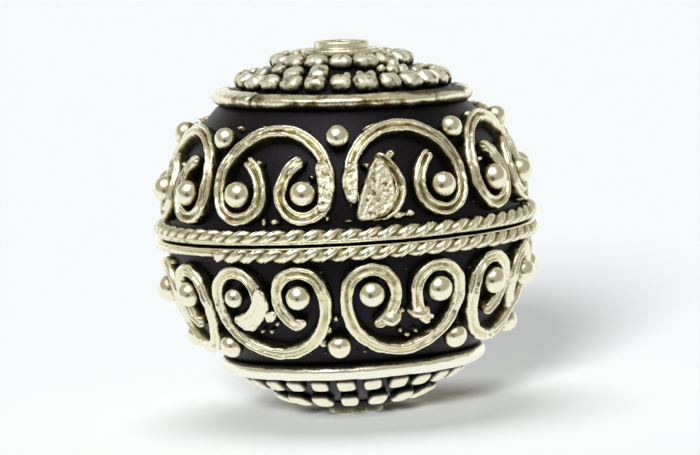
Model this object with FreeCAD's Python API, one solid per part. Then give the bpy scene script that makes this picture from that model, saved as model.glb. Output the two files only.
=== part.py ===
import FreeCAD, Part
import math
import os

# Hollow silver bead in the Bali style, millimetres. The origin is the bead's centre and +Z is the stringing axis.
# Two stamped half-shells meet at the equator. Each carries a twisted rim wire, a band of C-scrolls with a granule
# in every curl, a collar wire, two rows of cap granules and an eyelet round the stringing hole, all soldered on.

# Half-shells
dome_radius = 6.5
dome_wall = 0.45
hole_radius = 0.7
# Lift of every soldered-on piece above the shell, filled by solder on the real bead
solder_seat = 0.012

# Rim wires, each a square wire twisted so that every stroke that shows is a quarter turn
rope_thickness = 0.58
rope_stroke_pitch = 0.7
rope_seam_gap = 0.06

# Scrolls, flattened wire on edge, as many as fit round the bead with at least this gap between them
scroll_wire_width = 0.5
scroll_crown_width = 0.26
scroll_wire_height = 0.42
scroll_gap = 0.2
scroll_leg_gap = 0.24
scroll_rope_gap = 0.1
scroll_shoulder_drop = 10.5
scroll_curl_turn = 168.0
scroll_tail_turn = 54.0
scroll_tail_radius_share = 0.68

# Round granules
curl_granule_radius = 0.5
curl_granule_clearance = 0.09
spacer_granule_radius = 0.45
spacer_granule_gap = 0.11
# How far a round granule's middle stands above the shell, as a share of its radius
granule_rise_share = 0.76

# Cap granules, pressed low: their height stands above the solder
cap_granule_radius = 0.38
cap_granule_height = 0.42
cap_granule_gap = 0.16
cap_shoulder_reach_share = 0.92
cap_shoulder_height_share = 0.55
cap_top_reach_share = 0.55

# Collar wires
collar_width = 0.82
collar_height = 0.55
collar_scroll_gap = 0.56
collar_shoulder_share = 0.62

# Eyelets, each a neck round the stringing hole on a wider flange
eyelet_wall = 0.3
eyelet_flange = 0.5
eyelet_flange_height = 0.28
eyelet_height = 0.55
eyelet_chamfer = 0.1

# Places of the cap rows, as shares of the way from the collar's edge to the eyelet's
outer_row_share = 0.15
inner_row_share = 0.67

# Turn of each band about the axis: a spacer granule's longitude, from -Y towards +X
upper_band_longitude = -1.3
lower_band_longitude = -4.6

# Facets
dome_sides = 48
dome_outer_bands = 6
dome_inner_bands = 4
rope_sections_per_stroke = 3
rope_corners = 4
granule_sides = 6
main_arc_step = 21.0
curl_arc_step = 34.0
tail_arc_step = 27.0

CENTRE = FreeCAD.Vector(0, 0, 0)
AXIS = FreeCAD.Vector(0, 0, 1)
UPPER = 1
LOWER = -1

seat_radius = dome_radius + solder_seat
neck_radius = hole_radius + eyelet_wall
flange_radius = neck_radius + eyelet_flange


def angle_of(length):
    """Angle in degrees that a length spans on the shell."""
    return math.degrees(length / dome_radius)


def direction(latitude, longitude):
    """Unit vector at a latitude and a longitude, which is 0 at -Y and grows towards +X."""
    up, turn = math.radians(latitude), math.radians(longitude)
    return FreeCAD.Vector(math.cos(up) * math.sin(turn), -math.cos(up) * math.cos(turn), math.sin(up))


def turned(vector, axis, degrees):
    """A vector turned about an axis through the centre."""
    return FreeCAD.Rotation(axis, degrees).multVec(vector)


def facet(corners):
    """A flat face through its corners."""
    return Part.Face(Part.makePolygon(corners + corners[:1]))


def band_facets(ring, next_ring, twisted):
    """Faces between two rings of points: quads, or two triangles each where the band is twisted."""
    faces = []
    for i in range(len(ring)):
        j = (i + 1) % len(ring)
        if twisted:
            faces.append(facet([ring[i], ring[j], next_ring[j]]))
            faces.append(facet([ring[i], next_ring[j], next_ring[i]]))
        else:
            faces.append(facet([ring[i], ring[j], next_ring[j], next_ring[i]]))
    return faces


def faceted_solid(faces):
    """A solid that its faces close, with the outside out."""
    solid = Part.Solid(Part.Shell(faces))
    if solid.Volume < 0:
        solid.reverse()
    return solid


def skinned_bar(rings, twisted):
    """A solid bar through rings of points, closed at both ends."""
    faces = [facet(rings[0]), facet(rings[-1])]
    for ring, next_ring in zip(rings, rings[1:]):
        faces += band_facets(ring, next_ring, twisted)
    return faceted_solid(faces)


def skinned_hoop(rings, twisted):
    """A solid hoop through rings of points, of which the last lies on the first."""
    faces = []
    for ring, next_ring in zip(rings, rings[1:]):
        faces += band_facets(ring, next_ring, twisted)
    return faceted_solid(faces)


def axial_ring(radius, height):
    """Points evenly round the bead's axis."""
    corner = FreeCAD.Vector(radius, 0, height)
    return [turned(corner, AXIS, 360 * i / dome_sides) for i in range(dome_sides)]


# Half-shells

def crown_angle(radius):
    """Latitude at which a sphere is as narrow as the flat that carries the eyelet."""
    return math.degrees(math.acos(flange_radius / radius))


def dome_body(radius, bands):
    """Half a faceted ball with its crown cut flat to the width of the eyelet's flange."""
    rings = []
    for i in range(bands + 1):
        latitude = math.radians(crown_angle(radius) * i / bands)
        rings.append(axial_ring(radius * math.cos(latitude), radius * math.sin(latitude)))
    return skinned_bar(rings, twisted=False)


def crown_height():
    """Height of the flat that the eyelet stands on."""
    return dome_radius * math.sin(math.radians(crown_angle(dome_radius)))


def half_shell(side):
    """A stamped half-shell with the stringing hole through its crown."""
    shell = dome_body(dome_radius, dome_outer_bands).cut(dome_body(dome_radius - dome_wall, dome_inner_bands))
    shell = shell.cut(Part.makeCylinder(hole_radius, dome_radius))
    return on_side(shell, side)


def on_side(shape, side):
    """A shape of the upper half, or its mirror image below the equator."""
    return shape if side == UPPER else shape.mirror(CENTRE, AXIS)


# Twisted rim wires

def rope_height():
    """Height of a rim wire's centreline above the equator."""
    return (rope_seam_gap + rope_thickness) / 2


def rim_wire(side):
    """A square wire twisted along the rim, one quarter turn for each stroke that shows."""
    hoop_radius = seat_radius + rope_thickness / 2
    strokes = round(2 * math.pi * hoop_radius / rope_stroke_pitch)
    sections = strokes * rope_sections_per_stroke
    corner_turn = 360 / rope_corners
    rings = []
    for i in range(sections + 1):
        twist = corner_turn * i / rope_sections_per_stroke
        ring = []
        for j in range(rope_corners):
            turn = math.radians(twist + corner_turn * j)
            reach = hoop_radius + rope_thickness / 2 * math.cos(turn)
            height = side * rope_height() + rope_thickness / 2 * math.sin(turn)
            ring.append(turned(FreeCAD.Vector(reach, 0, height), AXIS, 360 * i / sections))
        rings.append(ring)
    return skinned_hoop(rings, twisted=True)


# Scrolls: each half is a chain of three arcs on the shell that touch and turn the same way

half_wire_angle = angle_of(scroll_wire_width / 2)


def curl_angle():
    """Angular radius of a curl's centreline, round its granule and the clearance."""
    return angle_of(curl_granule_radius + curl_granule_clearance) + half_wire_angle


def loop_angle():
    """Angular radius of the large loop's centreline, so that the two inner legs stand a leg gap apart."""
    leg = half_wire_angle + angle_of(scroll_leg_gap / 2)
    drop = math.cos(math.radians(scroll_shoulder_drop))
    return (leg + curl_angle() * (1 + drop)) / drop


def curl_latitude():
    """Latitude of the curls' centres, clear of the rim wire."""
    rope_top = rope_height() + rope_thickness / 2 + scroll_rope_gap
    return math.degrees(math.asin(rope_top / dome_radius)) + half_wire_angle + curl_angle()


def loop_latitude():
    """Latitude of the large loop's centre."""
    return curl_latitude() + (loop_angle() - curl_angle()) * math.sin(math.radians(scroll_shoulder_drop))


def scroll_count():
    """Number of scrolls that fit round the bead with their gap."""
    waist = math.cos(math.radians(loop_latitude()))
    half_width = math.degrees(math.asin(math.sin(math.radians(loop_angle() + half_wire_angle)) / waist))
    return int(180 / (half_width + angle_of(scroll_gap / 2) / waist))


def tangent_centre(point, centre, radius_angle):
    """Centre of an arc that touches an earlier one at a point, on the same side as its centre."""
    inward = centre - point * point.dot(centre)
    inward.normalize()
    return point * math.cos(math.radians(radius_angle)) + inward * math.sin(math.radians(radius_angle))


def scroll_arcs():
    """Angular radius, turn and step in degrees of a half scroll's arcs, from the top of the loop to the tip."""
    return [
        (loop_angle(), 90 + scroll_shoulder_drop, main_arc_step),
        (curl_angle(), scroll_curl_turn, curl_arc_step),
        (loop_angle() * scroll_tail_radius_share, scroll_tail_turn, tail_arc_step),
    ]


def half_scroll_path(hand):
    """Frames (point, centre of its arc) along half a scroll, to the right for hand 1 and to the left for -1."""
    point = direction(loop_latitude() + loop_angle(), 0)
    centre = direction(loop_latitude(), 0)
    frames = [(point, centre)]
    for radius_angle, turn, step in scroll_arcs():
        centre = tangent_centre(point, centre, radius_angle)
        steps = math.ceil(turn / step)
        for i in range(steps):
            point = turned(point, centre, -hand * turn / steps)
            frames.append((point, centre))
    return frames


def curl_centre(hand):
    """Direction of a curl's centre from the bead's centre, at longitude 0 for the scroll."""
    first_arc = scroll_arcs()[0]
    centre = direction(loop_latitude(), 0)
    point = turned(direction(loop_latitude() + loop_angle(), 0), centre, -hand * first_arc[1])
    return tangent_centre(point, centre, curl_angle())


def wire_section(point, centre):
    """Corners of the wire's section on the shell: a wide foot and a narrower crown."""
    outward = point * point.dot(centre) - centre
    outward.normalize()
    corners = []
    for width, radius in ((scroll_wire_width, seat_radius), (-scroll_wire_width, seat_radius),
                          (-scroll_crown_width, dome_radius + scroll_wire_height),
                          (scroll_crown_width, dome_radius + scroll_wire_height)):
        lean = width / 2 / dome_radius
        corners.append((point * math.cos(lean) + outward * math.sin(lean)) * radius)
    return corners


def scroll(side, longitude):
    """One C-scroll of flattened wire, its ends curled in and turned up over their granules."""
    right = half_scroll_path(1)
    left = half_scroll_path(-1)
    rings = [wire_section(point, centre) for point, centre in reversed(right)]
    rings += [wire_section(point, centre) for point, centre in left[1:]]
    shape = on_side(skinned_bar(rings, twisted=True), side)
    return shape.rotate(CENTRE, AXIS, longitude)


# Granules

def granule_rings(middle, profile):
    """Rings of points round a place on the shell, each with its reach and its height above the solder."""
    side_step = middle.cross(AXIS)
    side_step.normalize()
    rings = []
    for reach, height in profile:
        start = side_step * reach
        level = middle * (seat_radius + height)
        rings.append([level + turned(start, middle, 360 * i / granule_sides) for i in range(granule_sides)])
    return rings


def round_granule(middle, radius):
    """A faceted ball whose foot is flattened where it is soldered to the shell."""
    rise = granule_rise_share * radius
    foot = math.sqrt(radius ** 2 - rise ** 2)
    shoulder = radius * math.sin(math.pi / 4)
    rings = granule_rings(middle, ((foot, 0), (radius, rise), (shoulder, rise + shoulder)))
    faces = [facet(rings[0])] + band_facets(rings[0], rings[1], False) + band_facets(rings[1], rings[2], False)
    tip = middle * (seat_radius + rise + radius)
    for i in range(granule_sides):
        faces.append(facet([rings[2][i], rings[2][(i + 1) % granule_sides], tip]))
    return faceted_solid(faces)


def cap_granule(middle):
    """A faceted granule pressed low, with straight sides, a sloping shoulder and a flat top."""
    rings = granule_rings(middle, (
        (cap_granule_radius, 0),
        (cap_granule_radius * cap_shoulder_reach_share, cap_granule_height * cap_shoulder_height_share),
        (cap_granule_radius * cap_top_reach_share, cap_granule_height)))
    return skinned_bar(rings, twisted=False)


def spacer_latitude():
    """Latitude at which a spacer granule lies its gap away from the loops on both sides."""
    away = math.radians(loop_angle() + half_wire_angle + angle_of(spacer_granule_radius + spacer_granule_gap))
    half_pitch = math.pi / scroll_count()
    centre = math.radians(loop_latitude())
    level, forward = math.sin(centre), math.cos(centre) * math.cos(half_pitch)
    return math.degrees(math.atan2(level, forward) + math.acos(math.cos(away) / math.hypot(level, forward)))


def collar_latitude():
    """Latitude of the collar wire's middle, its gap away from the tops of the loops."""
    loop_top = loop_latitude() + loop_angle() + half_wire_angle
    return loop_top + angle_of(collar_scroll_gap + collar_width / 2)


def cap_latitude(way_share):
    """Latitude at a share of the way from the collar's edge to the eyelet's."""
    collar_edge = collar_latitude() + angle_of(collar_width / 2)
    return collar_edge + (crown_angle(dome_radius) - collar_edge) * way_share


def scroll_longitudes(band_longitude):
    """Longitudes of the scrolls' middles."""
    pitch = 360 / scroll_count()
    return [band_longitude + pitch * (i + 1 / 2) for i in range(scroll_count())]


def curl_granules(side, band_longitude):
    """Two granules for each scroll, one in each curl."""
    balls = []
    for longitude in scroll_longitudes(band_longitude):
        for hand in (1, -1):
            ball = on_side(round_granule(curl_centre(hand), curl_granule_radius), side)
            balls.append(ball.rotate(CENTRE, AXIS, longitude))
    return Part.makeCompound(balls)


def granule_row(side, granule, first_longitude, count):
    """A granule of the upper half at longitude 0, repeated evenly round one latitude."""
    first = on_side(granule, side)
    return Part.makeCompound(
        [first.copy().rotate(CENTRE, AXIS, first_longitude + 360 * i / count) for i in range(count)])


def spacer_row(side, first_longitude):
    """The granules between the loops, one for each scroll."""
    granule = round_granule(direction(spacer_latitude(), 0), spacer_granule_radius)
    return granule_row(side, granule, first_longitude, scroll_count())


def cap_row(side, latitude, first_longitude):
    """A row of cap granules, as many as fit with their gap."""
    reach = seat_radius * math.cos(math.radians(latitude))
    count = int(2 * math.pi * reach / (2 * cap_granule_radius + cap_granule_gap))
    return granule_row(side, cap_granule(direction(latitude, 0)), first_longitude, count)


# Collar wires and eyelets

def collar_wire(side):
    """A wide half-round wire round the shell, with a foot, two shoulders and a crown."""
    half = angle_of(collar_width / 2)
    rings = []
    for lean_share, height in ((-1, solder_seat), (-1, collar_height * collar_shoulder_share), (0, collar_height),
                               (1, collar_height * collar_shoulder_share), (1, solder_seat), (-1, solder_seat)):
        latitude = math.radians(collar_latitude() + half * lean_share)
        radius = dome_radius + height
        rings.append(axial_ring(radius * math.cos(latitude), radius * math.sin(latitude)))
    return on_side(skinned_hoop(rings, twisted=False), side)


def eyelet(side):
    """A chamfered neck on a flange that covers the crown, bored to the stringing hole."""
    foot = crown_height()
    step = foot + eyelet_flange_height
    top = foot + eyelet_height
    section = [
        FreeCAD.Vector(hole_radius, 0, foot),
        FreeCAD.Vector(flange_radius, 0, foot),
        FreeCAD.Vector(flange_radius, 0, step),
        FreeCAD.Vector(neck_radius, 0, step),
        FreeCAD.Vector(neck_radius, 0, top - eyelet_chamfer),
        FreeCAD.Vector(neck_radius - eyelet_chamfer, 0, top),
        FreeCAD.Vector(hole_radius, 0, top),
    ]
    return on_side(facet(section).revolve(CENTRE, AXIS, 360), side)


def half_bead(name, side, band_longitude):
    """Every piece of one half of the bead, by node name."""
    nodes = {
        name + "_dome": half_shell(side),
        name + "_rope_wire": rim_wire(side),
        name + "_collar_wire": collar_wire(side),
        name + "_eyelet": eyelet(side),
        name + "_scroll_granules": curl_granules(side, band_longitude),
        name + "_spacer_granules": spacer_row(side, band_longitude),
        name + "_outer_cap_granules": cap_row(side, cap_latitude(outer_row_share), band_longitude),
        name + "_inner_cap_granules": cap_row(side, cap_latitude(inner_row_share), band_longitude),
    }
    for i, longitude in enumerate(scroll_longitudes(band_longitude)):
        nodes[name + "_scroll_" + str(i + 1)] = scroll(side, longitude)
    return nodes


def build():
    """Writes one STEP file for each piece."""
    os.makedirs("parts", exist_ok=True)
    nodes = half_bead("upper", UPPER, upper_band_longitude)
    nodes.update(half_bead("lower", LOWER, lower_band_longitude))
    for name, shape in nodes.items():
        shape.exportStep("parts/" + name + ".step")
        print(name, "valid" if shape.isValid() else "INVALID", len(shape.Solids), round(shape.Volume, 4))


build()
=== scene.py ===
import logging
import math
import random
from dataclasses import dataclass
from enum import Enum
from functools import cache
from typing import Callable, Sequence

import bmesh
import bpy
from mathutils import Matrix, Quaternion, Vector


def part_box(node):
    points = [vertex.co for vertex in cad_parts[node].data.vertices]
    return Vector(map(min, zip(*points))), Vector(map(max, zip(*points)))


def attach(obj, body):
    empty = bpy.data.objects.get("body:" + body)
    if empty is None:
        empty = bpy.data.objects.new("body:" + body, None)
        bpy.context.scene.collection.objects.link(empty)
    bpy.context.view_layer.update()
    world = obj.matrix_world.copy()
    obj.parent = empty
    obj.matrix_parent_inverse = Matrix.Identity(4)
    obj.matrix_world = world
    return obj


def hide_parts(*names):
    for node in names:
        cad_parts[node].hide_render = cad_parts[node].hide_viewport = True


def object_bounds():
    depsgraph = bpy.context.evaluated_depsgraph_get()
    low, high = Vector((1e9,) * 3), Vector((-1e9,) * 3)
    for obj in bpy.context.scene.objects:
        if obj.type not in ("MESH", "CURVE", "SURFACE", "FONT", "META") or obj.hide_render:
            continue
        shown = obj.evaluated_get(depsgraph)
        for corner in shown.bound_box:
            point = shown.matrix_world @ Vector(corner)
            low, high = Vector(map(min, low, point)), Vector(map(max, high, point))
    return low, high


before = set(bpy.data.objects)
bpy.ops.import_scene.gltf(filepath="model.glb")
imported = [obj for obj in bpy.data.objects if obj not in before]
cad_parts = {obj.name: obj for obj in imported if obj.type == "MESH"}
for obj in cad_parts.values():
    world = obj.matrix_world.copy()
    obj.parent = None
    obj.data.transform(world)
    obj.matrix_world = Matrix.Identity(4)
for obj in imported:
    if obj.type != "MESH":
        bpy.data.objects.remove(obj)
CAD_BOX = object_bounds()

LOG = logging.getLogger("bali_bead")
MM = 0.001
AXIS = Vector((0, 0, 1))
CENTRE = Vector((0, 0, 0))
BODY = "root"
# The attribute that the patina reads, and the height in mm above which broad forms are rubbed alike, so that
# only patches of patina are left on them
RELIEF = "relief"
OPEN_RELIEF = 0.30
# Vertices this close are merged, and those this close to a cut lie on it. A cut makes new vertices unless old
# ones lie within its threshold
MERGE_DISTANCE = 0.002 * MM
ON_THE_CUT = 0.001 * MM
CUT_THRESHOLD = 0.0001 * MM
LOWEST, HIGHEST = 0, 1
X, Z = 0, 2

# Latitude and longitude in degrees, and a row of a table
Place = tuple[float, float]
Row = tuple[float, ...]


class Half(Enum):
    """The two halves of the bead."""

    UPPER = "upper"
    LOWER = "lower"

    @property
    def sign(self) -> int:
        """1 above the equator and -1 below it."""
        return 1 if self is Half.UPPER else -1

    def node(self, piece: str) -> str:
        """The CAD node of a piece of this half."""
        return f"{self.value}_{piece}"


def box_size(node: str, corner: int, axis: int) -> float:
    """One coordinate of a CAD node's box, in metres.

    Args:
        node: the CAD node's name.
        corner: LOWEST or HIGHEST.
        axis: X or Z.

    Returns:
        The coordinate.
    """
    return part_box(node)[corner][axis]


SHELL_RADIUS = box_size("upper_dome", HIGHEST, X)
CROWN_HEIGHT = box_size("upper_dome", HIGHEST, Z)
RIM_LOW = box_size("upper_rope_wire", LOWEST, Z)
RIM_HIGH = box_size("upper_rope_wire", HIGHEST, Z)
RIM_THICKNESS = RIM_HIGH - RIM_LOW
RIM_HEIGHT = (RIM_HIGH + RIM_LOW) / 2
RIM_RADIUS = box_size("upper_rope_wire", HIGHEST, X) - RIM_THICKNESS / 2


# Work at the bench: selecting, editing and finishing meshes

def deselect() -> None:
    """Leaves edit mode and deselects everything, the CAD nodes too."""
    if bpy.context.object is not None and bpy.context.object.mode != "OBJECT":
        bpy.ops.object.mode_set(mode="OBJECT")
    bpy.ops.object.select_all(action="DESELECT")


def select(*objects: bpy.types.Object) -> None:
    """Selects some objects alone and makes the first active.

    Args:
        objects: the objects.
    """
    deselect()
    for obj in objects:
        obj.select_set(True)
    bpy.context.view_layer.objects.active = objects[0]


def added(name: str) -> bpy.types.Object:
    """Names the object that an add operator has just made.

    Args:
        name: its new name.

    Returns:
        The object.
    """
    obj = bpy.context.object
    obj.name = name
    obj.data.name = name
    return obj


def place(obj: bpy.types.Object, matrix: Matrix) -> None:
    """Moves an object and puts the move into its mesh.

    Args:
        obj: the object.
        matrix: the move.
    """
    select(obj)
    obj.matrix_world = matrix @ obj.matrix_world
    bpy.ops.object.transform_apply(location=True, rotation=True, scale=True)


def start_edit(obj: bpy.types.Object, chosen: Callable[[Vector], bool] = lambda point: True) -> None:
    """Enters edit mode with the vertices that a test picks selected.

    Args:
        obj: the mesh object.
        chosen: a test of a vertex's place.
    """
    select(obj)
    bpy.ops.object.mode_set(mode="EDIT")
    pick(obj, chosen)


def pick(obj: bpy.types.Object, chosen: Callable[[Vector], bool]) -> None:
    """Selects, in edit mode, the vertices that a test picks.

    Args:
        obj: the mesh object.
        chosen: a test of a vertex's place.
    """
    bpy.ops.mesh.select_mode(type="VERT")
    bpy.ops.mesh.select_all(action="DESELECT")
    mesh = bmesh.from_edit_mesh(obj.data)
    for vertex in mesh.verts:
        vertex.select = chosen(vertex.co)
    mesh.select_flush_mode()
    bmesh.update_edit_mesh(obj.data)


def drawn(name: str, points: Sequence[Vector], closed: bool = True) -> bpy.types.Object:
    """A line of edges, extruded from one vertex from point to point.

    Args:
        name: the object's name.
        points: the line's points, in metres.
        closed: whether the last point joins the first.

    Returns:
        The line, an object without faces.
    """
    deselect()
    bpy.ops.mesh.primitive_plane_add(size=MM)
    line = added(name)
    start_edit(line)
    bpy.ops.mesh.merge(type="CENTER")
    bpy.ops.transform.translate(value=points[0])
    for here, there in zip(points, list(points[1:]) + ([points[0]] if closed else [])):
        bpy.ops.mesh.extrude_region_move(TRANSFORM_OT_translate={"value": there - here})
    bpy.ops.mesh.select_all(action="SELECT")
    bpy.ops.mesh.remove_doubles(threshold=MERGE_DISTANCE)
    bpy.ops.object.mode_set(mode="OBJECT")
    return line


def section_line(name: str, outline: Sequence[Row]) -> bpy.types.Object:
    """A wire's section, drawn flat and ready to be spun.

    Args:
        name: the object's name.
        outline: its corners, across and up in mm.

    Returns:
        The closed line.
    """
    return drawn(name, [Vector((across, up, 0)) * MM for across, up in outline])


def end_edit(obj: bpy.types.Object) -> None:
    """Merges doubles, turns normals outwards and leaves edit mode."""
    bpy.ops.mesh.select_all(action="SELECT")
    bpy.ops.mesh.remove_doubles(threshold=MERGE_DISTANCE)
    bpy.ops.mesh.normals_make_consistent(inside=False)
    bpy.ops.object.mode_set(mode="OBJECT")


def modify(obj: bpy.types.Object, kind: str, **settings: object) -> None:
    """Adds a modifier and applies it.

    Args:
        obj: the mesh object.
        kind: the modifier's type.
        settings: its settings by name.
    """
    select(obj)
    bpy.ops.object.modifier_add(type=kind)
    modifier = obj.modifiers[-1]
    for key, value in settings.items():
        setattr(modifier, key, value)
    bpy.ops.object.modifier_apply(modifier=modifier.name)


def roughen(obj: bpy.types.Object, grain: float, depth: float, along: str = "NORMAL") -> None:
    """Moves a surface by a cloud pattern, as hand work does.

    Args:
        obj: the mesh object.
        grain: size of the pattern's features, in metres.
        depth: furthest move, in metres.
        along: NORMAL, or RGB_TO_XYZ for a warp in every direction.
    """
    texture = bpy.data.textures.new(obj.name + "_grain", "CLOUDS")
    texture.noise_scale = grain
    texture.noise_basis = "ORIGINAL_PERLIN"
    texture.cloud_type = "COLOR" if along == "RGB_TO_XYZ" else "GRAYSCALE"
    modify(obj, "DISPLACE", texture=texture, strength=2 * depth, mid_level=0.5,
           direction=along, texture_coords="LOCAL")


def press(obj: bpy.types.Object, spot: Vector, reach: float, depth: float) -> None:
    """Presses a mesh towards the bead's centre round one place, with a soft edge.

    Args:
        obj: the mesh object.
        spot: the place.
        reach: how far the pressing is felt, in metres.
        depth: how deep it is at the place, in metres.
    """
    start_edit(obj, lambda point: (point - spot).length < reach / 2)
    bpy.ops.transform.translate(value=-depth * spot.normalized(), use_proportional_edit=True,
                                proportional_edit_falloff="SMOOTH", proportional_size=reach / 2)
    bpy.ops.object.mode_set(mode="OBJECT")


def mark_relief(obj: bpy.types.Object, height: Callable[[Vector], float], most: float = 1.0) -> None:
    """Writes each vertex's height in mm to the mesh, for the patina to read.

    Args:
        obj: the mesh object, as it was drawn, before hand work moves its surface.
        height: the height in metres of a place.
        most: height in mm above which the cloth reaches every place alike.
    """
    attribute = obj.data.attributes.new(name=RELIEF, type="FLOAT", domain="POINT")
    for vertex, value in zip(obj.data.vertices, attribute.data):
        value.value = min(most, height(vertex.co) / MM)


def above_shell(point: Vector) -> float:
    """Height of a place above the shell, in metres."""
    return point.length - SHELL_RADIUS


def leaned(angle: float) -> Matrix:
    """A turn in degrees that leans the bead's axis towards +X."""
    return Matrix.Rotation(math.radians(angle), 4, "Y")


def round_tip(middle: Vector, forward: Vector, rings: Sequence[Row]) -> None:
    """Closes a wire's end, which is selected, with a round tip.

    Args:
        middle: the middle of the end.
        forward: the direction in which the tip points.
        rings: how far each ring of the tip goes on, in metres, and its size as a share of the ring before.
    """
    for step, share in rings:
        bpy.ops.mesh.extrude_region_move(TRANSFORM_OT_translate={"value": forward * step})
        middle = middle + forward * step
        bpy.ops.transform.resize(value=(share, share, share), center_override=middle)
    bpy.ops.mesh.edge_face_add()


def copied(master: bpy.types.Object, name: str, matrix: Matrix) -> bpy.types.Object:
    """A copy with its own mesh, moved by a matrix that goes into the mesh.

    Args:
        master: the object to copy.
        name: the copy's name.
        matrix: where the copy goes.

    Returns:
        The copy.
    """
    copy = master.copy()
    copy.data = master.data.copy()
    copy.name = name
    copy.data.name = name
    bpy.context.scene.collection.objects.link(copy)
    place(copy, matrix)
    return copy


def joined(pieces: Sequence[bpy.types.Object], name: str) -> bpy.types.Object:
    """Several mesh objects as one.

    Args:
        pieces: the objects.
        name: the name of the joined object.

    Returns:
        The joined object.
    """
    select(*pieces)
    bpy.ops.object.join()
    return added(name)


def remove(obj: bpy.types.Object) -> None:
    """Deletes an object that was only a pattern for others."""
    bpy.data.objects.remove(obj)


def finish(obj: bpy.types.Object, material: bpy.types.Material, slot: str, *nodes: str) -> None:
    """Dresses a piece, fixes it to the bead and reports it.

    Args:
        obj: the piece.
        material: its finish.
        slot: the name of a material slot; not used.
        nodes: the CAD nodes that it stands for.
    """
    select(obj)
    bpy.ops.object.shade_smooth()
    obj.data.materials.clear()
    obj.data.materials.append(material)
    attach(obj, BODY)
    if nodes:
        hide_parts(*nodes)
    LOG.info("%s: %d faces, stands for %s", obj.name, len(obj.data.polygons), ", ".join(nodes) or "no node")


# Places on the shell

def direction(latitude: float, longitude: float) -> Vector:
    """Unit vector at a latitude and a longitude in degrees.

    Args:
        latitude: 0 at the equator, 90 on top.
        longitude: 0 at -Y, growing towards +X.

    Returns:
        The direction from the bead's centre.
    """
    up, turn = math.radians(latitude), math.radians(longitude)
    return Vector((math.cos(up) * math.sin(turn), -math.cos(up) * math.cos(turn), math.sin(up)))


def level_at(latitude: float, longitude: float, radius: float, turn: float = 0.0) -> Matrix:
    """The matrix of a place on a sphere, with X to the east, Y to the north and Z outwards.

    Args:
        latitude: degrees above the equator.
        longitude: degrees from -Y towards +X.
        radius: distance from the bead's centre, in metres.
        turn: turn about the outward direction, in degrees.

    Returns:
        The matrix.
    """
    out = direction(latitude, longitude)
    east = AXIS.cross(out).normalized()
    basis = Matrix((east, out.cross(east), out)).transposed().to_4x4()
    return Matrix.Translation(out * radius) @ basis @ Matrix.Rotation(math.radians(turn), 4, "Z")


def latitude_of(out: Vector) -> float:
    """Latitude of a direction, in degrees."""
    return math.degrees(math.asin(out.z))


def longitude_of(out: Vector) -> float:
    """Longitude of a direction, in degrees."""
    return math.degrees(math.atan2(out.x, -out.y))


def turned(angle: float) -> Matrix:
    """A turn about the bead's axis, in degrees."""
    return Matrix.Rotation(math.radians(angle), 4, AXIS)


@dataclass(frozen=True)
class Seat:
    """Where a granule sits, as its CAD solid gives it."""

    middle: Vector
    top: float


def seats(node: str) -> list[Seat]:
    """The seats of the granules of a CAD node.

    Args:
        node: the CAD node, a group of separate solids.

    Returns:
        One seat for each solid.
    """
    mesh = bmesh.new()
    mesh.from_mesh(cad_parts[node].data)
    bmesh.ops.remove_doubles(mesh, verts=mesh.verts, dist=MERGE_DISTANCE / 2)
    found: list[Seat] = []
    left = set(mesh.verts)
    while left:
        island = {left.pop()}
        edge = set(island)
        while edge:
            edge = {e.other_vert(v) for v in edge for e in v.link_edges} & left
            island |= edge
            left -= edge
        middle = sum((vertex.co for vertex in island), Vector()).normalized()
        found.append(Seat(middle, max(vertex.co.dot(middle) for vertex in island)))
    mesh.free()
    return sorted(found, key=lambda seat: (round(seat.middle.z, 3), longitude_of(seat.middle)))


# Colours and shader nodes

def linear(sheet_hex: str) -> tuple[float, float, float, float]:
    """An sRGB hex colour as linear values.

    Args:
        sheet_hex: six hex digits after a #.

    Returns:
        Linear red, green, blue and an alpha of 1.
    """
    values = [int(sheet_hex[i:i + 2], 16) / 255 for i in (1, 3, 5)]
    red, green, blue = (v / 12.92 if v <= 0.04045 else ((v + 0.055) / 1.055) ** 2.4 for v in values)
    return red, green, blue, 1.0


def add_node(tree: bpy.types.NodeTree, kind: str, settings: dict | None = None,
             inputs: dict | None = None) -> bpy.types.Node:
    """Adds a node with its settings, values and links.

    Args:
        tree: the node tree.
        kind: the node's type.
        settings: properties by name.
        inputs: values, or the sockets to link, by input name or number.

    Returns:
        The node.
    """
    node = tree.nodes.new(kind)
    for key, value in (settings or {}).items():
        setattr(node, key, value)
    for key, value in (inputs or {}).items():
        if isinstance(value, bpy.types.NodeSocket):
            tree.links.new(value, node.inputs[key])
        else:
            node.inputs[key].default_value = value
    return node


def new_material(name: str) -> tuple[bpy.types.Material, bpy.types.NodeTree, bpy.types.Node]:
    """An empty material.

    Args:
        name: its name.

    Returns:
        The material, its node tree and its output node.
    """
    material = bpy.data.materials.new(name)
    material.use_nodes = True
    material.node_tree.nodes.clear()
    output = add_node(material.node_tree, "ShaderNodeOutputMaterial")
    return material, material.node_tree, output


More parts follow.
